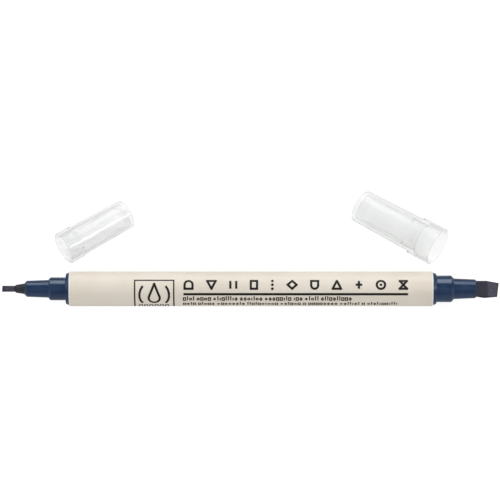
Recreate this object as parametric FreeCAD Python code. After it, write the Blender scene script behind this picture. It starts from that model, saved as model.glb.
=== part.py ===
import FreeCAD, Part
import math
import os

# Double-ended calligraphy marker with its two caps taken off and laid beside it.
#
# Frame: the origin is the middle of the barrel, on its axis. +X runs along the pen
# towards the broad nib, +Z is up, and the pen and both caps lie on the plane
# z = -sleeve_radius. All sizes are in millimetres.

# ---------------------------------------------------------------- barrel
barrel_length = 105.4
sleeve_radius = 5.05
sleeve_wall = 0.08
sleeve_inset = 0.3
tube_wall = 0.7
edge_break = 0.12
lead_in = 0.24
plug_lead_in = 0.36

# ---------------------------------------------------------------- sections
flange_radius = 4.7
flange_rim = 0.25
flange_face_radius = 4.38
flange_thickness = 0.95
seat_root = 0.2
plug_length = 9.0
plug_wall = 0.47
diaphragm_depth = 0.6
vent_radius = 0.3

fine_seat_radius = 3.33
fine_seat_end = 5.95
fine_seat_chamfer = 0.5
fine_nose_root_radius = 2.58
fine_nose_tip_radius = 2.34
fine_nose_end = 12.95
fine_nose_chamfer = 0.62

broad_seat_radius = 3.87
broad_seat_end = 6.15
broad_seat_chamfer = 0.85
broad_nose_root_radius = 3.0
broad_nose_tip_radius = 2.73
broad_nose_end = 12.47
broad_nose_chamfer = 0.2

# ---------------------------------------------------------------- nibs
nib_roll = 34.0
nib_tail_depth = 7.7
nib_tail_taper = 2.5
fine_nib_width = 1.75
fine_nib_thickness = 1.4
fine_nib_end = 19.5
fine_nib_tail_half = 0.2
fine_nib_corner = 0.3
fine_nib_slant = 3.0
collet_root_radius = 1.56
collet_tip_radius = 1.16
collet_end = 15.6
collet_stem_radius = 1.3
collet_stem_length = 6.0

broad_nib_root_width = 4.6
broad_nib_belly = 2.66
broad_nib_belly_reach = 2.3
broad_nib_heel = 2.36
broad_nib_toe = 1.68
broad_nib_shoulder_reach = 3.1
broad_nib_thickness = 2.5
broad_nib_tail_half = 0.4
broad_nib_end = 19.08
broad_nib_corner = 0.75
broad_nib_slant = 6.4
broad_bevel_length = 3.45
fine_bevel_length = 1.3
nib_edge_thickness = 0.7
bevel_overrun = 1.0

# ---------------------------------------------------------------- ink store
reservoir_half_length = 50.0
reservoir_radius = 3.6
wrap_wall = 0.12

# ---------------------------------------------------------------- caps
cap_end_wall = 1.2
cap_end_round = 0.7
seal_wall = 0.5
seal_running_gap = 0.05
seal_tip_gap = 1.1
nose_clearance = 0.2
fine_liner_inset = 0.8
broad_liner_inset = 0.5
rest_gap = 0.01

fine_cap_length = 22.4
fine_cap_end_radius = 4.3
fine_cap_root_radius = 4.62
fine_collar_radius = 4.9
fine_collar_length = 4.6
fine_cap_bore_radius = 3.95

broad_cap_length = 27.4
broad_cap_end_radius = 4.93
broad_cap_root_radius = 5.25
broad_collar_radius = 5.72
broad_collar_length = 7.6
broad_collar_gap = 0.08
broad_collar_depth = 5.2
broad_cap_bore_radius = 4.25

fine_cap_mouth = (-54.8, 14.07)
fine_cap_heading = 35.6
broad_cap_mouth = (54.5, 13.97)
broad_cap_heading = 145.45

# ---------------------------------------------------------------- derived
half_barrel = barrel_length / 2
tube_radius = sleeve_radius - sleeve_wall
tube_bore = tube_radius - tube_wall
plug_bore = tube_bore - plug_wall
table_z = -sleeve_radius
origin = FreeCAD.Vector(0, 0, 0)
x_axis = FreeCAD.Vector(1, 0, 0)
y_axis = FreeCAD.Vector(0, 1, 0)
z_axis = FreeCAD.Vector(0, 0, 1)


# ---------------------------------------------------------------- helpers
def turned(outline):
    """Solid turned about the X axis from a closed outline of (x, radius) points."""
    corners = [FreeCAD.Vector(x, radius, 0) for x, radius in outline]
    face = Part.Face(Part.makePolygon(corners + corners[:1]))
    return face.revolve(origin, x_axis, 360)


def prism(outline, along, depth):
    """Plate cut to a closed outline of points and centred on the outline's plane."""
    face = Part.Face(Part.makePolygon(outline + outline[:1]))
    plate = face.extrude(along * depth)
    plate.translate(along * (-depth / 2))
    return plate


def rounded_bar(width, thickness, corner, start, end):
    """Bar along X with rounded long edges, wide along Y and thin along Z."""
    bar = Part.makeBox(end - start, width, thickness)
    bar.translate(FreeCAD.Vector(start, -width / 2, -thickness / 2))
    long_edges = [edge for edge in bar.Edges if abs(edge.tangentAt(edge.FirstParameter).x) > 0.99]
    return bar.makeFillet(corner, long_edges)


def circle_edges(shape, x, radius):
    """Edges of a turned shape that lie on the circle at x with that radius."""
    found = []
    for edge in shape.Edges:
        if isinstance(edge.Curve, Part.Circle):
            centre = edge.Curve.Center
            if abs(centre.x - x) < 0.01 and abs(edge.Curve.Radius - radius) < 0.01:
                found.append(edge)
    return found


def at_broad_end(shape):
    """Place a shape drawn outwards from a barrel end at the +X end."""
    placed = shape.copy()
    placed.rotate(origin, x_axis, nib_roll)
    placed.translate(FreeCAD.Vector(half_barrel, 0, 0))
    return placed


def at_fine_end(shape):
    """Place a shape drawn outwards from a barrel end at the -X end."""
    placed = shape.copy()
    placed.rotate(origin, x_axis, -nib_roll)
    placed.rotate(origin, z_axis, 180)
    placed.translate(FreeCAD.Vector(-half_barrel, 0, 0))
    return placed


def lying_cap(shape, mouth, heading, collar_end, collar_radius, end_depth, end_radius):
    """Lay a cap drawn from its mouth along +X on the table, resting on collar and end."""
    tilt = math.atan((collar_radius - end_radius) / (end_depth - collar_end))
    mouth_z = table_z + collar_radius * math.cos(tilt) + collar_end * math.sin(tilt)
    placed = shape.copy()
    placed.rotate(origin, y_axis, math.degrees(tilt))
    placed.rotate(origin, z_axis, heading)
    placed.translate(FreeCAD.Vector(mouth[0], mouth[1], mouth_z))
    return placed


# ---------------------------------------------------------------- barrel
def barrel_tube():
    """Extruded tube, open at both ends, with a small chamfer on each outer edge."""
    outline = [
        (-half_barrel, tube_bore),
        (-half_barrel, tube_radius - edge_break),
        (-half_barrel + edge_break, tube_radius),
        (half_barrel - edge_break, tube_radius),
        (half_barrel, tube_radius - edge_break),
        (half_barrel, tube_bore),
    ]
    return turned(outline)


def printed_sleeve():
    """Thin film round the tube that stops just short of its ends."""
    end = half_barrel - sleeve_inset
    outline = [
        (-end, tube_radius),
        (-end, sleeve_radius),
        (end, sleeve_radius),
        (end, tube_radius),
    ]
    return turned(outline)


# ---------------------------------------------------------------- sections
def section_body(seat_radius, seat_end, seat_chamfer, root_radius, tip_radius, nose_end, nose_chamfer):
    """Plug, flange, cap seat and nose of one nib holder, drawn outwards from the barrel's end."""
    outline = [
        (-plug_length, plug_bore),
        (-plug_length, tube_bore - edge_break),
        (-plug_length + plug_lead_in, tube_bore),
        (0, tube_bore),
        (0, flange_radius),
        (flange_rim, flange_radius),
        (flange_thickness, flange_face_radius),
        (flange_thickness, seat_radius + seat_root),
        (flange_thickness + seat_root, seat_radius),
        (seat_end - seat_chamfer, seat_radius),
        (seat_end, seat_radius - seat_chamfer),
        (seat_end, root_radius),
        (nose_end - nose_chamfer, tip_radius),
        (nose_end, tip_radius - nose_chamfer),
        (nose_end, 0),
        (-diaphragm_depth, 0),
        (-diaphragm_depth, plug_bore),
    ]
    return turned(outline)


def vented(section, nib_half_thickness, nose_end):
    """Cut the two air channels that run beside the nib through the section."""
    for side in (-1, 1):
        channel = Part.makeCylinder(vent_radius, nose_end + plug_length, origin, x_axis)
        channel.translate(FreeCAD.Vector(-plug_length, 0, side * nib_half_thickness))
        section = section.cut(channel)
    return section


def fine_section():
    """Nib holder of the fine end, bored for the collet and its stem."""
    body = section_body(
        fine_seat_radius, fine_seat_end, fine_seat_chamfer,
        fine_nose_root_radius, fine_nose_tip_radius, fine_nose_end, fine_nose_chamfer,
    )
    stem_start = fine_nose_end - collet_stem_length
    stem_hole = Part.makeCylinder(collet_stem_radius, collet_stem_length, origin, x_axis)
    stem_hole.translate(FreeCAD.Vector(stem_start, 0, 0))
    nib_hole = rounded_bar(
        fine_nib_width, fine_nib_thickness, fine_nib_corner, -plug_length, fine_nose_end,
    )
    body = vented(body.cut(nib_hole), fine_nib_thickness / 2, stem_start)
    return body.cut(stem_hole)


def broad_section():
    """Nib holder of the broad end, slotted for the flat nib."""
    body = section_body(
        broad_seat_radius, broad_seat_end, broad_seat_chamfer,
        broad_nose_root_radius, broad_nose_tip_radius, broad_nose_end, broad_nose_chamfer,
    )
    nib_hole = rounded_bar(
        broad_nib_root_width, broad_nib_thickness, broad_nib_corner, -plug_length, broad_nose_end,
    )
    return vented(body.cut(nib_hole), broad_nib_thickness / 2, broad_nose_end)


def fine_collet():
    """Cone that grips the fine nib, with a stem pressed into the nose."""
    outline = [
        (fine_nose_end - collet_stem_length, 0),
        (fine_nose_end - collet_stem_length, collet_stem_radius),
        (fine_nose_end, collet_stem_radius),
        (fine_nose_end, collet_root_radius),
        (collet_end - edge_break, collet_tip_radius),
        (collet_end, collet_tip_radius - edge_break),
        (collet_end, 0),
    ]
    nib_hole = rounded_bar(fine_nib_width, fine_nib_thickness, fine_nib_corner, 0, collet_end)
    return turned(outline).cut(nib_hole)


# ---------------------------------------------------------------- nibs
def chisel_sides(tail_half, thickness, bevel_length, end):
    """Side outline of a nib in X and Z: pointed tail, flat body, chisel bevel."""
    half = thickness / 2
    edge = nib_edge_thickness / 2
    tail_start = -nib_tail_depth
    tail_end = tail_start + nib_tail_taper
    reach = end + bevel_overrun
    slope = (half - edge) / bevel_length
    tip_half = edge - slope * bevel_overrun
    upper = [(tail_start, tail_half), (tail_end, half), (end - bevel_length, half), (reach, tip_half)]
    lower = [(x, -z) for x, z in reversed(upper)]
    return [FreeCAD.Vector(x, 0, z) for x, z in upper + lower]


def fine_nib():
    """Fine chisel nib: a slim fibre bar that runs through the collet into the ink store."""
    bar = rounded_bar(fine_nib_width, fine_nib_thickness, fine_nib_corner, -nib_tail_depth, fine_nib_end)
    sides = chisel_sides(fine_nib_tail_half, fine_nib_thickness, fine_bevel_length, fine_nib_end)
    bar = bar.common(prism(sides, y_axis, 2 * fine_nib_width))
    half = fine_nib_width / 2
    lean = half * math.tan(math.radians(fine_nib_slant))
    outline = [
        FreeCAD.Vector(-nib_tail_depth, -half, 0),
        FreeCAD.Vector(fine_nib_end - 2 * lean, -half, 0),
        FreeCAD.Vector(fine_nib_end, half, 0),
        FreeCAD.Vector(-nib_tail_depth, half, 0),
    ]
    return bar.common(prism(outline, z_axis, 2 * fine_nib_thickness))


def broad_nib():
    """Broad chisel nib: a flat fibre bar with a swelling belly and a slanted writing edge."""
    belly_width = 2 * broad_nib_belly
    bar = rounded_bar(belly_width, broad_nib_thickness, broad_nib_corner, -nib_tail_depth, broad_nib_end)
    root_bar = rounded_bar(
        broad_nib_root_width, broad_nib_thickness, broad_nib_corner, -nib_tail_depth, broad_nose_end,
    )
    outside = Part.makeBox(broad_nib_end, 2 * belly_width, 2 * belly_width)
    outside.translate(FreeCAD.Vector(broad_nose_end, -belly_width, -belly_width))
    root_half = broad_nib_root_width / 2
    lean = (broad_nib_toe + broad_nib_heel) * math.tan(math.radians(broad_nib_slant))
    outline = [
        FreeCAD.Vector(broad_nose_end, -root_half, 0),
        FreeCAD.Vector(broad_nose_end + broad_nib_belly_reach, -broad_nib_belly, 0),
        FreeCAD.Vector(broad_nib_end - lean, -broad_nib_heel, 0),
        FreeCAD.Vector(broad_nib_end, broad_nib_toe, 0),
        FreeCAD.Vector(broad_nose_end + broad_nib_shoulder_reach, root_half, 0),
        FreeCAD.Vector(broad_nose_end, root_half, 0),
    ]
    head = bar.common(outside).common(prism(outline, z_axis, 2 * broad_nib_thickness))
    whole = head.fuse(root_bar).removeSplitter()
    sides = chisel_sides(
        broad_nib_tail_half, broad_nib_thickness, broad_bevel_length, broad_nib_end,
    )
    return whole.common(prism(sides, y_axis, 2 * belly_width))


# ---------------------------------------------------------------- ink store
def reservoir_wrap():
    """Film tube round the fibre core."""
    outline = [
        (-reservoir_half_length, reservoir_radius),
        (-reservoir_half_length, reservoir_radius + wrap_wall),
        (reservoir_half_length, reservoir_radius + wrap_wall),
        (reservoir_half_length, reservoir_radius),
    ]
    return turned(outline)


def reservoir_core(nibs):
    """Fibre rod that holds the ink, with a socket where each nib's tail enters it."""
    core = Part.makeCylinder(reservoir_radius, 2 * reservoir_half_length, origin, x_axis)
    core.translate(FreeCAD.Vector(-reservoir_half_length, 0, 0))
    for nib in nibs:
        core = core.cut(nib)
    return core


# ---------------------------------------------------------------- caps
def cap_shell(length, end_radius, root_radius, collar_radius, collar_length, bore, counterbore):
    """Tapered cup with a thicker collar.

    bore is (radius, depth) of the straight bore that holds the liner, and counterbore
    is (radius, depth) of a wider bore at the mouth, or None.
    """
    bore_radius, bore_depth = bore
    bore_end = length - cap_end_wall
    outer = [
        (0, collar_radius - lead_in),
        (lead_in, collar_radius),
        (collar_length - lead_in, collar_radius),
        (collar_length, root_radius),
        (length, end_radius),
        (length, 0),
    ]
    bore_end_radius = bore_radius - (root_radius - end_radius)
    inner = [(bore_end, 0), (bore_end, bore_end_radius), (bore_depth, bore_radius)]
    if counterbore:
        counter_radius, counter_depth = counterbore
        inner += [(counter_depth, bore_radius), (counter_depth, counter_radius)]
        inner += [(lead_in, counter_radius), (0, counter_radius + lead_in)]
    else:
        inner += [(lead_in, bore_radius), (0, bore_radius + lead_in)]
    shell = turned(outer + inner)
    return shell.makeFillet(cap_end_round, circle_edges(shell, length, end_radius))


def inner_cap(start, land_radius, land_end, fit_radius, well_radius, end):
    """Stepped liner cup: a land that seals on the cap seat, then a narrow well for the nib."""
    corner = seal_wall / 2
    outline = [
        (start, land_radius + lead_in),
        (start, fit_radius),
        (land_end + seal_wall, fit_radius),
        (land_end + fit_radius - well_radius, well_radius + seal_wall),
        (end - seal_wall, well_radius + seal_wall),
        (end, well_radius),
        (end, 0),
        (end - seal_wall, 0),
        (end - seal_wall, well_radius - corner),
        (end - seal_wall - corner, well_radius),
        (land_end + land_radius - well_radius, well_radius),
        (land_end, land_radius),
        (start + lead_in, land_radius),
    ]
    return turned(outline)


def fine_cap():
    """Shell and liner of the fine cap, both drawn from the mouth along +X."""
    land_end = fine_seat_end - flange_thickness - fine_seat_chamfer
    shell = cap_shell(
        fine_cap_length, fine_cap_end_radius, fine_cap_root_radius, fine_collar_radius,
        fine_collar_length, (fine_cap_bore_radius, land_end + 2 * seal_wall), None,
    )
    tip_depth = fine_nib_end - flange_thickness
    liner = inner_cap(
        fine_liner_inset, fine_seat_radius + seal_running_gap, land_end, fine_cap_bore_radius,
        fine_nose_root_radius + nose_clearance, tip_depth + seal_tip_gap + seal_wall,
    )
    return shell, liner


def broad_cap():
    """Shell and liner of the broad cap; its collar slips over the end of the barrel."""
    shoulder = broad_collar_depth
    land_end = shoulder + broad_seat_end - flange_thickness - broad_seat_chamfer
    shell = cap_shell(
        broad_cap_length, broad_cap_end_radius, broad_cap_root_radius, broad_collar_radius,
        broad_collar_length, (broad_cap_bore_radius, land_end + 2 * seal_wall),
        (sleeve_radius + broad_collar_gap, shoulder),
    )
    tip_depth = shoulder + broad_nib_end - flange_thickness
    liner = inner_cap(
        shoulder + broad_liner_inset, broad_seat_radius + seal_running_gap, land_end,
        broad_cap_bore_radius, broad_nose_root_radius + nose_clearance,
        tip_depth + seal_tip_gap + seal_wall,
    )
    return shell, liner


# ---------------------------------------------------------------- assembly
def lay_fine(shape):
    """Lay a piece of the fine cap on the table beside the fine nib."""
    end_depth = fine_cap_length - cap_end_round
    return lying_cap(
        shape, fine_cap_mouth, fine_cap_heading, fine_collar_length - lead_in,
        fine_collar_radius, end_depth, fine_cap_end_radius + rest_gap,
    )


def lay_broad(shape):
    """Lay a piece of the broad cap on the table beside the broad nib."""
    end_depth = broad_cap_length - cap_end_round
    return lying_cap(
        shape, broad_cap_mouth, broad_cap_heading, broad_collar_length - lead_in,
        broad_collar_radius, end_depth, broad_cap_end_radius + rest_gap,
    )


def pieces():
    """Every piece of the marker by name, in place."""
    fine_shell, fine_liner = fine_cap()
    broad_shell, broad_liner = broad_cap()
    fine_point = at_fine_end(fine_nib())
    broad_point = at_broad_end(broad_nib())
    return {
        "barrel_tube": barrel_tube(),
        "printed_sleeve": printed_sleeve(),
        "fine_section": at_fine_end(fine_section()),
        "broad_section": at_broad_end(broad_section()),
        "fine_collet": at_fine_end(fine_collet()),
        "fine_nib": fine_point,
        "broad_nib": broad_point,
        "ink_reservoir": reservoir_core([fine_point, broad_point]),
        "reservoir_wrap": reservoir_wrap(),
        "fine_cap_shell": lay_fine(fine_shell),
        "fine_inner_cap": lay_fine(fine_liner),
        "broad_cap_shell": lay_broad(broad_shell),
        "broad_inner_cap": lay_broad(broad_liner),
    }


os.makedirs("parts", exist_ok=True)
for name, shape in pieces().items():
    solid = shape.Solids[0]
    if len(shape.Solids) != 1 or not solid.isValid():
        raise ValueError(name + " is not one valid solid")
    solid.exportStep("parts/" + name + ".step")
    print(name, round(solid.Volume, 2), "mm3")
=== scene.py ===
import math
import random

import bmesh
import bpy
from mathutils import Matrix, Vector


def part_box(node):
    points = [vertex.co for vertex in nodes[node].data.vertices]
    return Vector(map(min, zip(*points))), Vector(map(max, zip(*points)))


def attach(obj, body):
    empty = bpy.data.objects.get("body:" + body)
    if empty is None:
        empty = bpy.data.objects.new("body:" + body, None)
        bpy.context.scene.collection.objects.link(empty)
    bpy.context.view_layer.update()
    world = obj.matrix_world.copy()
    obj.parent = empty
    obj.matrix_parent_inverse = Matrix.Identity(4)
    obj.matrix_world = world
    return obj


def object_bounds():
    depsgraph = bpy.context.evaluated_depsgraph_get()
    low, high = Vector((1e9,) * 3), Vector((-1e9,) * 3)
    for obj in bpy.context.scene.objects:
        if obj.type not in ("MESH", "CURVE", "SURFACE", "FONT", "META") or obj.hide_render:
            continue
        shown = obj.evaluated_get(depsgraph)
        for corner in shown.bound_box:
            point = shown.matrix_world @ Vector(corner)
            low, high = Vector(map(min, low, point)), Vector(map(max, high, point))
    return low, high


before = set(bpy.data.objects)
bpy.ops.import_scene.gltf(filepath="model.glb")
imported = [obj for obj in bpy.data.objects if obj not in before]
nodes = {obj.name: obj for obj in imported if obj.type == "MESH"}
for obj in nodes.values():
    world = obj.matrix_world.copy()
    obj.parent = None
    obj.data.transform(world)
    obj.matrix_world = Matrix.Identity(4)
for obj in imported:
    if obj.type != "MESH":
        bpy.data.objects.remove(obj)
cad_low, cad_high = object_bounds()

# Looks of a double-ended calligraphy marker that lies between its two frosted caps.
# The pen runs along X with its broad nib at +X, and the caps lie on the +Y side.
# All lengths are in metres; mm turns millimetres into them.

mm = 0.001

# ---------------------------------------------------------------- sizes and places
sleeve_low, sleeve_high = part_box("printed_sleeve")
sleeve_radius = (sleeve_high.z - sleeve_low.z) / 2
table_z = cad_low.z

# How the broad nib is turned about the pen, and how far its writing edge leans.
nib_roll = math.radians(34.0)
nib_slant = math.radians(6.4)

# Each cap's mouth, the direction from there to its closed end, and the length of its collar.
fine_cap_mouth = Vector((-54.8, 14.07, 0)) * mm
fine_cap_heading = math.radians(35.6)
fine_collar_length = 4.6 * mm
broad_cap_mouth = Vector((54.5, 13.97, 0)) * mm
broad_cap_heading = math.radians(145.45)
broad_collar_length = 7.6 * mm


# ---------------------------------------------------------------- node helpers
def new_group(name, inputs, outputs):
    """Shader node group; inputs are (name, type, default) and outputs are (name, type)."""
    group = bpy.data.node_groups.new(name, "ShaderNodeTree")
    for socket_name, kind, default in inputs:
        socket = group.interface.new_socket(socket_name, in_out="INPUT", socket_type=kind)
        socket.default_value = default
    for socket_name, kind in outputs:
        group.interface.new_socket(socket_name, in_out="OUTPUT", socket_type=kind)
    source = group.nodes.new("NodeGroupInput")
    result = group.nodes.new("NodeGroupOutput")
    return group, source, result


def add(tree, kind, **settings):
    """Node of that kind; a setting names a property, or an input with in_ before its name."""
    node = tree.nodes.new(kind)
    for key, value in settings.items():
        if key.startswith("in_"):
            node.inputs[key[3:].replace("_", " ")].default_value = value
        else:
            setattr(node, key, value)
    return node


def math_node(tree, operation, first, second=None):
    """Math node on sockets or numbers."""
    node = add(tree, "ShaderNodeMath", operation=operation)
    for index, value in enumerate((first, second)):
        if value is None:
            continue
        if isinstance(value, bpy.types.NodeSocket):
            tree.links.new(value, node.inputs[index])
        else:
            node.inputs[index].default_value = value
    return node.outputs[0]


def remap(tree, value, low, high, to_low=0.0, to_high=1.0):
    """Map a value from one range to another, eased at both ends."""
    node = add(tree, "ShaderNodeMapRange", interpolation_type="SMOOTHSTEP")
    tree.links.new(value, node.inputs["Value"])
    node.inputs["From Min"].default_value = low
    node.inputs["From Max"].default_value = high
    node.inputs["To Min"].default_value = to_low
    node.inputs["To Max"].default_value = to_high
    return node.outputs["Result"]


def mix_colour(tree, factor, first, second):
    """Mix two colours, each a socket or an RGB triple, by a mask."""
    node = add(tree, "ShaderNodeMix", data_type="RGBA")
    tree.links.new(factor, node.inputs["Factor"])
    for socket, value in ((node.inputs[6], first), (node.inputs[7], second)):
        if isinstance(value, bpy.types.NodeSocket):
            tree.links.new(value, socket)
        else:
            socket.default_value = (*value, 1.0)
    return node.outputs[2]


def object_position(tree):
    """Object coordinates as a vector and as separate X, Y and Z."""
    place = add(tree, "ShaderNodeTexCoord").outputs["Object"]
    split = add(tree, "ShaderNodeSeparateXYZ")
    tree.links.new(place, split.inputs[0])
    return place, split.outputs


def stretched(tree, place, scale):
    """Place vector scaled by three numbers, for patterns that run along one axis."""
    mapping = add(tree, "ShaderNodeMapping")
    mapping.inputs["Scale"].default_value = scale
    tree.links.new(place, mapping.inputs["Vector"])
    return mapping.outputs[0]


def noise(tree, place, scale, detail=3.0, roughness=0.5):
    """Noise value on a place vector."""
    node = add(tree, "ShaderNodeTexNoise", in_Scale=scale, in_Detail=detail, in_Roughness=roughness)
    tree.links.new(place, node.inputs["Vector"])
    return node.outputs["Fac"]


# ---------------------------------------------------------------- shared effects
def make_moulded_grain():
    """Fine skin of a moulded surface: a height for bump and a slow patchiness."""
    group, source, result = new_group(
        "moulded_grain",
        [("Grain Scale", "NodeSocketFloat", 2500.0), ("Patch Scale", "NodeSocketFloat", 120.0)],
        [("Height", "NodeSocketFloat"), ("Patches", "NodeSocketFloat")],
    )
    place, _ = object_position(group)
    grain = add(group, "ShaderNodeTexNoise", in_Detail=4.0, in_Roughness=0.6)
    patches = add(group, "ShaderNodeTexNoise", in_Detail=2.0, in_Roughness=0.5)
    for node, name in ((grain, "Grain Scale"), (patches, "Patch Scale")):
        group.links.new(place, node.inputs["Vector"])
        group.links.new(source.outputs[name], node.inputs["Scale"])
    group.links.new(grain.outputs["Fac"], result.inputs["Height"])
    group.links.new(patches.outputs["Fac"], result.inputs["Patches"])
    return group


def make_rub_marks():
    """Hair-fine scratches round the X axis, where a cap has been turned and pulled off."""
    group, source, result = new_group(
        "rub_marks",
        [("Amount", "NodeSocketFloat", 0.5)],
        [("Marks", "NodeSocketFloat")],
    )
    place, _ = object_position(group)
    rings = noise(group, stretched(group, place, (9000.0, 250.0, 250.0)), 1.0, 2.0)
    lines = remap(group, rings, 0.6, 0.72)
    breaks = remap(group, noise(group, place, 260.0, 2.0), 0.42, 0.62)
    marks = math_node(group, "MULTIPLY", lines, breaks)
    marks = math_node(group, "MULTIPLY", marks, source.outputs["Amount"])
    group.links.new(marks, result.inputs["Marks"])
    return group


def make_fibre_streaks():
    """Bonded fibres that run along the X axis, as a height and a mask of lighter strands."""
    group, source, result = new_group(
        "fibre_streaks",
        [("Fineness", "NodeSocketFloat", 1.0)],
        [("Height", "NodeSocketFloat"), ("Strands", "NodeSocketFloat")],
    )
    place, _ = object_position(group)
    stretch = stretched(group, place, (450.0, 6500.0, 6500.0))
    strands = add(group, "ShaderNodeTexNoise", in_Detail=3.0, in_Roughness=0.65)
    group.links.new(stretch, strands.inputs["Vector"])
    group.links.new(source.outputs["Fineness"], strands.inputs["Scale"])
    pores = noise(group, place, 5200.0, 3.0, 0.7)
    height = math_node(group, "ADD", strands.outputs["Fac"], math_node(group, "MULTIPLY", pores, 0.6))
    group.links.new(height, result.inputs["Height"])
    group.links.new(remap(group, strands.outputs["Fac"], 0.48, 0.72), result.inputs["Strands"])
    return group


moulded_grain = make_moulded_grain()
rub_marks = make_rub_marks()
fibre_streaks = make_fibre_streaks()


def place_group(tree, group, **inputs):
    """Put a shared effect in a material with its own values."""
    node = tree.nodes.new("ShaderNodeGroup")
    node.node_tree = group
    for name, value in inputs.items():
        node.inputs[name.replace("_", " ")].default_value = value
    return node


def new_material(name, **settings):
    """Material with one Principled shader; settings name its sockets."""
    material = bpy.data.materials.new(name)
    material.use_nodes = True
    tree = material.node_tree
    shader = next(node for node in tree.nodes if node.type == "BSDF_PRINCIPLED")
    for key, value in settings.items():
        shader.inputs[key.replace("_", " ")].default_value = value
    return material, tree, shader


def bump(tree, shader, height, strength, distance):
    """Feed a height to the shader's normal."""
    node = add(tree, "ShaderNodeBump", in_Strength=strength, in_Distance=distance)
    tree.links.new(height, node.inputs["Height"])
    tree.links.new(node.outputs[0], shader.inputs["Normal"])


# ---------------------------------------------------------------- materials
def make_printed_film():
    """Warm off-white film, satin, with a faint mottle and its overlap seam at the back."""
    material, tree, shader = new_material("printed_film", IOR=1.5)
    skin = place_group(tree, moulded_grain, Grain_Scale=1400.0, Patch_Scale=90.0)
    place, axes = object_position(tree)
    clouds = remap(tree, skin.outputs["Patches"], 0.3, 0.7)
    base = mix_colour(tree, clouds, (0.760, 0.690, 0.590), (0.800, 0.735, 0.640))
    flecks = remap(tree, noise(tree, place, 3200.0, 2.0, 0.6), 0.62, 0.75)
    base = mix_colour(tree, math_node(tree, "MULTIPLY", flecks, 0.35), base, (0.70, 0.62, 0.52))
    seam_drop = 1.5 * mm
    behind = remap(tree, axes["Y"], 0.0, 0.5 * mm)
    off_seam = math_node(tree, "ABSOLUTE", math_node(tree, "ADD", axes["Z"], seam_drop))
    line = remap(tree, off_seam, 0.05 * mm, 0.12 * mm, 1.0, 0.0)
    seam = math_node(tree, "MULTIPLY", behind, line)
    base = mix_colour(tree, math_node(tree, "MULTIPLY", seam, 0.6), base, (0.45, 0.38, 0.30))
    tree.links.new(base, shader.inputs["Base Color"])
    satin = remap(tree, skin.outputs["Patches"], 0.3, 0.7, 0.46, 0.54)
    tree.links.new(satin, shader.inputs["Roughness"])
    bump(tree, shader, skin.outputs["Height"], 0.15, 0.01 * mm)
    return material


def make_white_tube():
    """White extruded plastic with drawing lines along the tube."""
    material, tree, shader = new_material("white_tube", IOR=1.49)
    place, _ = object_position(tree)
    lines = noise(tree, stretched(tree, place, (40.0, 3000.0, 3000.0)), 1.0, 3.0)
    base = mix_colour(tree, lines, (0.84, 0.83, 0.80), (0.92, 0.92, 0.90))
    tree.links.new(base, shader.inputs["Base Color"])
    tree.links.new(remap(tree, lines, 0.3, 0.7, 0.4, 0.5), shader.inputs["Roughness"])
    bump(tree, shader, lines, 0.2, 0.01 * mm)
    return material


def make_moulded(name, dark, light, roughness):
    """Glossy moulded plastic with a fine skin and rub marks from the cap."""
    material, tree, shader = new_material(name, IOR=1.5, Specular_Tint=(0.80, 0.92, 1.0, 1.0))
    skin = place_group(tree, moulded_grain, Grain_Scale=2600.0, Patch_Scale=300.0)
    rubs = place_group(tree, rub_marks, Amount=0.55)
    base = mix_colour(tree, remap(tree, skin.outputs["Patches"], 0.3, 0.7), dark, light)
    worn = tuple(value * 2.2 + 0.01 for value in light)
    base = mix_colour(tree, math_node(tree, "MULTIPLY", rubs.outputs["Marks"], 0.5), base, worn)
    tree.links.new(base, shader.inputs["Base Color"])
    rough = remap(tree, skin.outputs["Patches"], 0.3, 0.7, roughness, roughness + 0.06)
    rough = math_node(tree, "ADD", rough, math_node(tree, "MULTIPLY", rubs.outputs["Marks"], 0.2))
    tree.links.new(rough, shader.inputs["Roughness"])
    height = math_node(tree, "SUBTRACT", skin.outputs["Height"], rubs.outputs["Marks"])
    bump(tree, shader, height, 0.12, 0.01 * mm)
    return material


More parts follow.
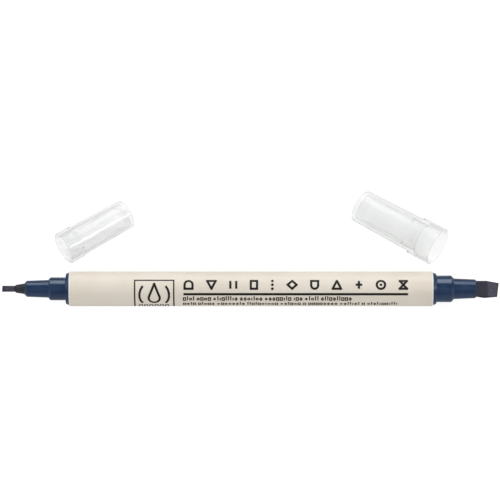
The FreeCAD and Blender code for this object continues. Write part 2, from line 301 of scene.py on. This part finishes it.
def make_inked_fibre():
    """Bonded fibre soaked in ink, paler towards the tips from wear and a painted lighter facet, with
    dark tip rims and painted shade under the broad nib.
    """
    material, tree, shader = new_material(
        "inked_fibre", IOR=1.4, Sheen_Weight=0.25, Sheen_Roughness=0.5, Sheen_Tint=(0.6, 0.6, 0.8, 1.0),
    )
    fibres = place_group(tree, fibre_streaks, Fineness=1.0)
    place, axes = object_position(tree)
    _, broad_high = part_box("broad_nib")
    fine_low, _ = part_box("fine_nib")

    # Paler fibre near both tips: partly wear, partly a painted lighter bevel facet where the light falls
    # on it.
    # Both tips are about as far from the barrel's middle, so one distance serves both.
    worn_and_lit_start = broad_high.x - 3.1 * mm
    worn_and_lit_end = broad_high.x - 2.6 * mm
    reach = math_node(tree, "ABSOLUTE", axes["X"])
    ragged = math_node(tree, "MULTIPLY", noise(tree, place, 900.0), 0.5 * mm)
    worn = remap(tree, math_node(tree, "ADD", reach, ragged), worn_and_lit_start, worn_and_lit_end)
    blots = remap(tree, noise(tree, place, 1500.0, 2.0), 0.40, 0.62)
    soaked = mix_colour(tree, fibres.outputs["Strands"], (0.020, 0.021, 0.036), (0.042, 0.044, 0.070))
    rubbed_and_lit = mix_colour(tree, fibres.outputs["Strands"], (0.050, 0.046, 0.078), (0.104, 0.094, 0.144))
    body = mix_colour(tree, worn, soaked, rubbed_and_lit)
    body = mix_colour(tree, math_node(tree, "MULTIPLY", blots, 0.5), body, (0.022, 0.022, 0.036))

    across_y = math_node(tree, "MULTIPLY", axes["Y"], math.cos(nib_roll))
    across_z = math_node(tree, "MULTIPLY", axes["Z"], math.sin(nib_roll))
    across = math_node(tree, "ADD", across_y, across_z)
    lean = math_node(tree, "MULTIPLY", across, -math.tan(nib_slant))
    broad_tip = broad_high.x - 0.2 * mm
    along_edge = math_node(tree, "ADD", axes["X"], lean)
    broad_rim = remap(tree, along_edge, broad_tip - 0.5 * mm, broad_tip - 0.15 * mm)
    # Painted shade along the broad nib's underside, which faces away from the light; it joins the dark
    # rim at the broad tip.
    underside_shade = remap(tree, across, -2.45 * mm, -1.9 * mm, 1.0, 0.0)
    broad_rim = math_node(tree, "MAXIMUM", broad_rim, underside_shade)
    fine_rim = remap(tree, axes["X"], fine_low.x + 0.35 * mm, fine_low.x + 0.9 * mm, 1.0, 0.0)
    tip_rims_and_underside_shade = math_node(tree, "MULTIPLY", math_node(tree, "MAXIMUM", broad_rim, fine_rim), 0.75)

    # The darkest colour paints the dark rims at both tips and the shade under the broad nib.
    tree.links.new(mix_colour(tree, tip_rims_and_underside_shade, body, (0.010, 0.010, 0.018)), shader.inputs["Base Color"])
    matt = remap(tree, fibres.outputs["Height"], 0.4, 1.0, 0.5, 0.85)
    tree.links.new(matt, shader.inputs["Roughness"])
    bump(tree, shader, fibres.outputs["Height"], 0.6, 0.05 * mm)
    return material


def make_reservoir_fibre():
    """Felted fibre of the ink store, stained unevenly."""
    material, tree, shader = new_material("reservoir_fibre", IOR=1.4)
    fibres = place_group(tree, fibre_streaks, Fineness=0.6)
    base = mix_colour(tree, fibres.outputs["Strands"], (0.03, 0.04, 0.10), (0.10, 0.12, 0.22))
    tree.links.new(base, shader.inputs["Base Color"])
    matt = remap(tree, fibres.outputs["Height"], 0.4, 1.0, 0.7, 0.95)
    tree.links.new(matt, shader.inputs["Roughness"])
    bump(tree, shader, fibres.outputs["Height"], 0.6, 0.08 * mm)
    return material


def make_clear_film():
    """Thin clear film round the ink store, slightly crinkled."""
    material, tree, shader = new_material("clear_film", IOR=1.5, Transmission_Weight=0.9)
    skin = place_group(tree, moulded_grain, Grain_Scale=900.0, Patch_Scale=150.0)
    base = mix_colour(tree, skin.outputs["Patches"], (0.85, 0.88, 0.92), (0.94, 0.95, 0.96))
    tree.links.new(base, shader.inputs["Base Color"])
    tree.links.new(remap(tree, skin.outputs["Patches"], 0.3, 0.7, 0.1, 0.25), shader.inputs["Roughness"])
    bump(tree, shader, skin.outputs["Patches"], 0.2, 0.05 * mm)
    return material


# How much of the shell's tint is left in the thick collar, and in the painted shade where the wall is
# seen edge on.
collar_shade = 0.962
painted_edge_shade = 0.84


def make_frosted(name, tint, clear_tint, mouth, heading, collar_length):
    """Frosted translucent shell, denser in its thick collar, with painted shade where its wall is seen
    edge on.
    """
    material, tree, shader = new_material(
        name, IOR=1.03, Transmission_Weight=0.86, Coat_Weight=0.22, Coat_Roughness=0.14, Coat_IOR=1.5,
    )
    skin = place_group(tree, moulded_grain, Grain_Scale=2200.0, Patch_Scale=220.0)
    place, _ = object_position(tree)
    along = add(tree, "ShaderNodeVectorMath", operation="DOT_PRODUCT")
    tree.links.new(place, along.inputs[0])
    direction = Vector((math.cos(heading), math.sin(heading), 0))
    along.inputs[1].default_value = direction
    depth = math_node(tree, "SUBTRACT", along.outputs["Value"], direction.dot(mouth))
    base = mix_colour(tree, remap(tree, skin.outputs["Patches"], 0.3, 0.7), tint, clear_tint)
    collar = remap(tree, depth, collar_length - 0.6 * mm, collar_length, 1.0, 0.0)
    base = mix_colour(tree, collar, base, tuple(value * collar_shade for value in tint))
    # Painted shade: the wall is darkened where it is seen edge on, standing in for the longer path of
    # light through it.
    facing = add(tree, "ShaderNodeLayerWeight", in_Blend=0.5).outputs["Facing"]
    edge_on_shade = remap(tree, facing, 0.38, 0.60)
    base = mix_colour(tree, edge_on_shade, base, tuple(value * painted_edge_shade for value in tint))
    tree.links.new(base, shader.inputs["Base Color"])
    rubs = place_group(tree, rub_marks, Amount=0.4)
    rough = remap(tree, skin.outputs["Patches"], 0.3, 0.7, 0.12, 0.16)
    rough = math_node(tree, "ADD", rough, math_node(tree, "MULTIPLY", rubs.outputs["Marks"], 0.15))
    tree.links.new(rough, shader.inputs["Roughness"])
    bump(tree, shader, skin.outputs["Height"], 0.06, 0.01 * mm)
    return material


def make_liner():
    """Nearly clear plastic of the inner caps."""
    material, tree, shader = new_material("inner_cap_plastic", IOR=1.03, Transmission_Weight=0.95)
    skin = place_group(tree, moulded_grain, Grain_Scale=2200.0, Patch_Scale=220.0)
    base = mix_colour(tree, skin.outputs["Patches"], (0.985, 0.990, 0.990), (0.995, 0.996, 0.996))
    tree.links.new(base, shader.inputs["Base Color"])
    satin = remap(tree, skin.outputs["Patches"], 0.3, 0.7, 0.14, 0.18)
    tree.links.new(satin, shader.inputs["Roughness"])
    bump(tree, shader, skin.outputs["Height"], 0.06, 0.01 * mm)
    return material


def make_print_ink():
    """Warm black screen print, a little thin in places."""
    material, tree, shader = new_material("print_ink", IOR=1.4)
    place, _ = object_position(tree)
    thin = remap(tree, noise(tree, place, 1800.0, 3.0, 0.6), 0.5, 0.75)
    base = mix_colour(tree, thin, (0.006, 0.005, 0.004), (0.018, 0.015, 0.012))
    tree.links.new(base, shader.inputs["Base Color"])
    tree.links.new(remap(tree, thin, 0.0, 1.0, 0.42, 0.6), shader.inputs["Roughness"])
    return material


materials = {
    "barrel_tube": make_white_tube(),
    "printed_sleeve": make_printed_film(),
    "fine_section": make_moulded("navy_plastic", (0.011, 0.030, 0.080), (0.017, 0.038, 0.097), 0.17),
    "fine_collet": make_moulded("black_plastic", (0.018, 0.018, 0.022), (0.028, 0.028, 0.033), 0.36),
    "fine_nib": make_inked_fibre(),
    "ink_reservoir": make_reservoir_fibre(),
    "reservoir_wrap": make_clear_film(),
    "fine_cap_shell": make_frosted(
        "frosted_fine_cap", (0.966, 0.968, 0.968), (0.974, 0.976, 0.976),
        fine_cap_mouth, fine_cap_heading, fine_collar_length,
    ),
    "broad_cap_shell": make_frosted(
        "frosted_broad_cap", (0.966, 0.972, 0.970), (0.977, 0.981, 0.980),
        broad_cap_mouth, broad_cap_heading, broad_collar_length,
    ),
    "fine_inner_cap": make_liner(),
}
for kind in ("section", "nib", "inner_cap"):
    materials["broad_" + kind] = materials["fine_" + kind]

for node_name, node_object in nodes.items():
    for slot in node_object.material_slots:
        slot.material = materials[node_name]

# ---------------------------------------------------------------- print on the sleeve
# The print is drawn flat, with x along the pen and y the distance round the sleeve from
# the line that faces -Y, upwards. It is then given its thickness and wrapped on.
# The ink's height over the film, its depth into it, the rows that it is wrapped in, and the
# degrees in one step of an arc.
ink_height = 0.018 * mm
ink_root = 0.03 * mm
row_step = 0.25 * mm
arc_step = 15.0

# Row of signs and the rule below it.
print_left = -19.5 * mm
stroke = 0.66 * mm
sign_base = math.radians(53.0) * sleeve_radius
sign_height = 3.0 * mm
sign_gap = 3.55 * mm
rule_base = math.radians(38.5) * sleeve_radius
rule_stroke = 0.70 * mm

# Lines of tiny marks.
small_stroke = 0.33 * mm
small_size = 1.0 * mm
small_width = 0.62 * mm
small_gap = 0.46 * mm
group_gap = 0.45 * mm
phrase_gap = 1.15 * mm
small_dot = 0.4 * mm
small_dot_gap = 0.3 * mm

# Badge: its frame, the drop, the curved strokes on both sides and the row of domes.
badge_side = 11.3 * mm
badge_left = -33.6 * mm
badge_top = math.radians(85.5) * sleeve_radius
frame_stroke = 0.42 * mm
drop_depth = 5.4 * mm
drop_radius = 1.6 * mm
drop_height = 4.3 * mm
bow_radius = 4.3 * mm
bow_lift = 0.9 * mm
bow_sweep = 80
dome_count = 6
dome_inset = 1.3 * mm
dome_pitch = 1.5 * mm
dome_drop = 9.8 * mm
dome_width = 0.9 * mm
dome_height = 1.7 * mm
dome_stroke = 0.34 * mm


def draw_bar(flat, start, end, width):
    """Straight stroke between two points of the flat print."""
    start = Vector((*start, 0))
    end = Vector((*end, 0))
    along = end - start
    made = bmesh.ops.create_grid(flat, x_segments=1, y_segments=1, size=0.5)
    size = Matrix.Diagonal((along.length, width, 1, 1))
    turn = Matrix.Rotation(math.atan2(along.y, along.x), 4, "Z")
    place = Matrix.Translation((start + end) / 2)
    bmesh.ops.transform(flat, matrix=place @ turn @ size, verts=made["verts"])


def draw_path(flat, points, width):
    """Strokes from point to point, each run on a little so that the corners close."""
    corners = [Vector(point) for point in points]
    for start, end in zip(corners, corners[1:]):
        spare = (end - start).normalized() * (width * 0.4)
        draw_bar(flat, start - spare, end + spare, width)


def draw_arc(flat, centre, radius, width, first, sweep):
    """Curved stroke of that middle radius; angles in degrees from the x direction."""
    ends = []
    for reach in (radius - width / 2, radius + width / 2):
        angle = math.radians(first)
        spot = (centre[0] + reach * math.cos(angle), centre[1] + reach * math.sin(angle), 0)
        ends.append(flat.verts.new(spot))
    edge = flat.edges.new(ends)
    bmesh.ops.spin(
        flat, geom=[*ends, edge], cent=(*centre, 0), axis=(0, 0, 1), angle=math.radians(sweep),
        steps=max(4, int(abs(sweep) / arc_step)), use_merge=abs(sweep) == 360, use_duplicate=False,
    )


def draw_dot(flat, centre, radius):
    """Round dot, with a hair's breadth left open at its centre so that no two corners meet."""
    draw_arc(flat, centre, radius / 2, radius * 0.995, 0, 360)


def sign_dome(flat, x, y, w, h, width):
    """Dome on a flat base."""
    draw_path(flat, [(x, y + h - w / 2), (x, y), (x + w, y), (x + w, y + h - w / 2)], width)
    draw_arc(flat, (x + w / 2, y + h - w / 2), w / 2, width, 0, 180)


def sign_bowl(flat, x, y, w, h, width):
    """Covered bowl, the dome upside down."""
    draw_path(flat, [(x, y + w / 2), (x, y + h), (x + w, y + h), (x + w, y + w / 2)], width)
    draw_arc(flat, (x + w / 2, y + w / 2), w / 2, width, 180, 180)


def sign_ring(flat, x, y, w, h, width):
    """Ring."""
    draw_arc(flat, (x + w / 2, y + h / 2), w / 2, width, 0, 360)


def sign_target(flat, x, y, w, h, width):
    """Ring with a dot in its middle."""
    sign_ring(flat, x, y, w, h, width)
    draw_dot(flat, (x + w / 2, y + h / 2), width * 0.6)


def sign_bar(flat, x, y, w, h, width):
    """Single upright."""
    draw_bar(flat, (x + w / 2, y), (x + w / 2, y + h), width)


def sign_dots(flat, x, y, w, h, width):
    """Three dots, one above the other."""
    for level in (0, 0.5, 1):
        draw_dot(flat, (x + w / 2, y + h * level), width * 0.6)


def sign_twin(flat, x, y, w, h, width):
    """Two uprights."""
    draw_bar(flat, (x, y), (x, y + h), width)
    draw_bar(flat, (x + w, y), (x + w, y + h), width)


def sign_tent(flat, x, y, w, h, width):
    """Closed triangle, point up."""
    draw_path(flat, [(x, y), (x + w / 2, y + h), (x + w, y), (x, y)], width)


def sign_triangle(flat, x, y, w, h, width):
    """Closed triangle, point down."""
    draw_path(flat, [(x, y + h), (x + w, y + h), (x + w / 2, y), (x, y + h)], width)


def sign_box(flat, x, y, w, h, width):
    """Upright box."""
    draw_path(flat, [(x, y), (x + w, y), (x + w, y + h), (x, y + h), (x, y)], width)


def sign_diamond(flat, x, y, w, h, width):
    """Diamond."""
    middle = x + w / 2
    half = y + h / 2
    draw_path(flat, [(x, half), (middle, y + h), (x + w, half), (middle, y), (x, half)], width)


def sign_plus(flat, x, y, w, h, width):
    """Plus."""
    draw_bar(flat, (x, y + h / 2), (x + w, y + h / 2), width)
    draw_bar(flat, (x + w / 2, y), (x + w / 2, y + h), width)


def sign_hourglass(flat, x, y, w, h, width):
    """Hourglass."""
    draw_path(flat, [(x, y), (x + w, y), (x, y + h), (x + w, y + h), (x, y)], width)


def wrap_print(flat):
    """Cut the flat print into rows, thicken it and wrap it on the sleeve."""
    low = min(vert.co.y for vert in flat.verts)
    high = max(vert.co.y for vert in flat.verts)
    row = low + row_step
    while row < high:
        everything = flat.verts[:] + flat.edges[:] + flat.faces[:]
        bmesh.ops.bisect_plane(flat, geom=everything, plane_co=(0, row, 0), plane_no=(0, 1, 0))
        row += row_step
    bmesh.ops.recalc_face_normals(flat, faces=flat.faces)
    for face in flat.faces:
        if face.normal.z < 0:
            face.normal_flip()
    raised = bmesh.ops.extrude_face_region(flat, geom=flat.faces[:], use_keep_orig=True)
    tops = [item for item in raised["geom"] if isinstance(item, bmesh.types.BMVert)]
    bottoms = set(flat.verts) - set(tops)
    bmesh.ops.translate(flat, verts=tops, vec=(0, 0, ink_height))
    bmesh.ops.translate(flat, verts=list(bottoms), vec=(0, 0, -ink_root))
    for vert in flat.verts:
        angle = vert.co.y / sleeve_radius
        radius = sleeve_radius + vert.co.z
        vert.co = Vector((vert.co.x, -radius * math.cos(angle), radius * math.sin(angle)))
    bmesh.ops.recalc_face_normals(flat, faces=flat.faces)


def finish_print(flat, name):
    """Make a wrapped print a piece of the pen."""
    wrap_print(flat)
    mesh = bpy.data.meshes.new(name)
    flat.to_mesh(mesh)
    flat.free()
    piece = bpy.data.objects.new(name, mesh)
    mesh.materials.append(print_ink)
    bpy.context.scene.collection.objects.link(piece)
    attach(piece, "pen")


def print_sign_row():
    """Row of widely spaced plain signs."""
    signs = (
        (sign_dome, 2.3), (sign_triangle, 2.5), (sign_twin, 1.7), (sign_box, 1.8), (sign_dots, 0.4),
        (sign_diamond, 2.6), (sign_bowl, 2.0), (sign_tent, 2.4), (sign_plus, 1.9), (sign_target, 2.4),
        (sign_hourglass, 2.1),
    )
    flat = bmesh.new()
    x = print_left + stroke / 2
    for draw, width in signs:
        draw(flat, x, sign_base + stroke / 2, width * mm, sign_height - stroke, stroke)
        x += width * mm + sign_gap + stroke
    finish_print(flat, "print_sign_row")
    return x - sign_gap - stroke / 2


def print_rule(right):
    """Rule below the row of signs."""
    flat = bmesh.new()
    draw_bar(flat, (print_left, rule_base), (right, rule_base), rule_stroke)
    finish_print(flat, "print_rule")


def print_small_line(name, degrees, phrases, seed):
    """Line of tiny plain marks in groups, with a dot between the longer ones."""
    flat = bmesh.new()
    chooser = random.Random(seed)
    marks = (
        sign_bar, sign_bar, sign_bar, sign_box, sign_diamond, sign_box, sign_diamond, sign_ring,
        sign_box,
    )
    base = math.radians(degrees) * sleeve_radius
    x = print_left
    for phrase in phrases:
        for word in phrase:
            for _ in range(word):
                mark = chooser.choice(marks)
                tall = chooser.random() < 0.7
                width = 0.2 * mm if mark is sign_bar else small_width
                height = small_size * (1.45 if tall and mark is sign_bar else 0.95)
                mark(flat, x, base, width, height, small_stroke)
                x += width + small_gap
            x += group_gap
        if phrase is not phrases[-1]:
            draw_dot(flat, (x + small_dot_gap, base + small_size / 2), small_dot)
            x += phrase_gap
    finish_print(flat, name)


def print_badge():
    """Square frame with an ink drop between two curved strokes and a row of small domes."""
    flat = bmesh.new()
    right = badge_left + badge_side
    bottom = badge_top - badge_side
    corners = [(badge_left, bottom), (right, bottom), (right, badge_top), (badge_left, badge_top)]
    draw_path(flat, [*corners, corners[0]], frame_stroke)

    middle = badge_left + badge_side / 2
    heart = badge_top - drop_depth
    tip = heart + drop_height
    lean = math.degrees(math.acos(drop_radius / drop_height))
    draw_arc(flat, (middle, heart), drop_radius, stroke, 90 + lean, 360 - 2 * lean)
    for side in (-1, 1):
        angle = math.radians(90 + side * lean)
        touch = (middle + drop_radius * math.cos(angle), heart + drop_radius * math.sin(angle))
        draw_path(flat, [touch, (middle, tip)], stroke)

    for facing in (0, 180):
        draw_arc(flat, (middle, heart + bow_lift), bow_radius, stroke, facing - bow_sweep / 2, bow_sweep)
    for index in range(dome_count):
        x = badge_left + dome_inset + dome_pitch * index
        sign_dome(flat, x, badge_top - dome_drop, dome_width, dome_height, dome_stroke)
    finish_print(flat, "print_badge")


print_ink = make_print_ink()
rule_right = print_sign_row()
print_rule(rule_right)
print_badge()
print_small_line("print_small_line_upper", 15.0, ((4, 4), (8, 7), (7, 3), (4, 10)), 3)
print_small_line("print_small_line_lower", -9.0, ((4, 5), (7, 10), (5, 1, 8), (6, 1, 11)), 8)

# ---------------------------------------------------------------- stage
camera_elevation = math.radians(56.0)
camera_side = math.radians(0.5)
camera_distance = 1.08
camera_aim = -0.3 * mm
camera_lift = 11.25 * mm
view_width = 0.145
sensor_width = 36.0
floor_reach = 6.0

# The floor's glow, and how much of it is held back from matt and from glossy surfaces.
floor_glow = 0.90
matt_dimming = 0.28
glossy_dimming = 0.52

# The room's light, and the pale surround that only the camera sees.
room_strength = 0.25
surround_strength = 0.95


def make_camera():
    """Long lens that looks down at the pen, with the pen level in the picture."""
    back = Vector((
        math.cos(camera_elevation) * math.sin(camera_side),
        -math.cos(camera_elevation) * math.cos(camera_side),
        math.sin(camera_elevation),
    ))
    right = (Vector((1, 0, 0)) - back * back.x).normalized()
    up = back.cross(right)
    aim = Vector((camera_aim, 0, 0)) + up * camera_lift
    data = bpy.data.cameras.new("camera")
    data.sensor_width = sensor_width
    data.lens = sensor_width * camera_distance / view_width
    data.clip_start = 0.05
    data.clip_end = 20.0
    camera = bpy.data.objects.new("camera", data)
    turn = Matrix((right, up, back)).transposed()
    camera.matrix_world = Matrix.Translation(aim + back * camera_distance) @ turn.to_4x4()
    bpy.context.scene.collection.objects.link(camera)
    bpy.context.scene.camera = camera


def make_area_light(name, place, target, size, power, glossy=True, diffuse=True):
    """Soft rectangular light at a place, turned to the target."""
    data = bpy.data.lights.new(name, "AREA")
    data.shape = "RECTANGLE"
    data.size, data.size_y = size
    data.energy = power
    light = bpy.data.objects.new(name, data)
    aim = Vector(target) - Vector(place)
    light.matrix_world = Matrix.Translation(place) @ aim.to_track_quat("-Z", "Y").to_matrix().to_4x4()
    light.visible_glossy = glossy
    light.visible_diffuse = diffuse
    bpy.context.scene.collection.objects.link(light)


def make_floor():
    """Plain pale floor with a glow of its own, dimmer for surfaces that it lights or that mirror it."""
    mesh = bpy.data.meshes.new("floor")
    shape = bmesh.new()
    bmesh.ops.create_grid(shape, x_segments=1, y_segments=1, size=floor_reach)
    bmesh.ops.translate(shape, verts=shape.verts, vec=(0, 0, table_z))
    shape.to_mesh(mesh)
    shape.free()
    floor = bpy.data.objects.new("floor", mesh)
    material, tree, shader = new_material("floor", Roughness=0.9, Emission_Color=(1.0, 1.0, 1.0, 1.0))
    place, _ = object_position(tree)
    tone = mix_colour(tree, noise(tree, place, 3.0), (0.20, 0.20, 0.20), (0.22, 0.22, 0.22))
    tree.links.new(tone, shader.inputs["Base Color"])
    shader.inputs["Specular IOR Level"].default_value = 0.0
    rays = add(tree, "ShaderNodeLightPath").outputs
    scattered = math_node(tree, "MULTIPLY", rays["Is Diffuse Ray"], matt_dimming)
    mirrored = math_node(tree, "MULTIPLY", rays["Is Glossy Ray"], glossy_dimming)
    through = math_node(tree, "SUBTRACT", 1.0, rays["Is Transmission Ray"])
    dimming = math_node(tree, "MULTIPLY", math_node(tree, "ADD", scattered, mirrored), through)
    tree.links.new(math_node(tree, "SUBTRACT", floor_glow, dimming), shader.inputs["Emission Strength"])
    mesh.materials.append(material)
    bpy.context.scene.collection.objects.link(floor)


def make_world():
    """Dim room for reflections, with a pale surround where the camera sees it."""
    world = bpy.data.worlds.new("studio")
    world.use_nodes = True
    tree = world.node_tree
    tree.nodes.clear()
    room = add(tree, "ShaderNodeBackground", in_Color=(1.0, 1.0, 1.0, 1.0), in_Strength=room_strength)
    surround = add(
        tree, "ShaderNodeBackground", in_Color=(1.0, 1.0, 1.0, 1.0), in_Strength=surround_strength,
    )
    seen = add(tree, "ShaderNodeLightPath").outputs["Is Camera Ray"]
    mix = add(tree, "ShaderNodeMixShader")
    out = add(tree, "ShaderNodeOutputWorld")
    tree.links.new(seen, mix.inputs[0])
    tree.links.new(room.outputs[0], mix.inputs[1])
    tree.links.new(surround.outputs[0], mix.inputs[2])
    tree.links.new(mix.outputs[0], out.inputs[0])
    bpy.context.scene.world = world


make_camera()
make_floor()
make_world()
make_area_light("overhead_softbox", (0.0, 0.385, 0.50), (0, 0, 0), (0.30, 0.46), 2.1)
make_area_light("side_strip", (0.36, -0.19, 0.40), (0, 0, 0), (0.14, 0.14), 2.6, diffuse=False)
make_area_light("left_panel", (-0.60, 0.05, 0.32), (0, 0, 0), (0.60, 0.55), 0.85)
make_area_light("right_panel", (0.60, 0.05, 0.32), (0, 0, 0), (0.60, 0.55), 0.85)
make_area_light("front_fill", (0.0, -0.78, 1.04), (0, 0, 0), (1.0, 1.0), 6.6, glossy=False)
bpy.context.scene.view_settings.view_transform = "Standard"
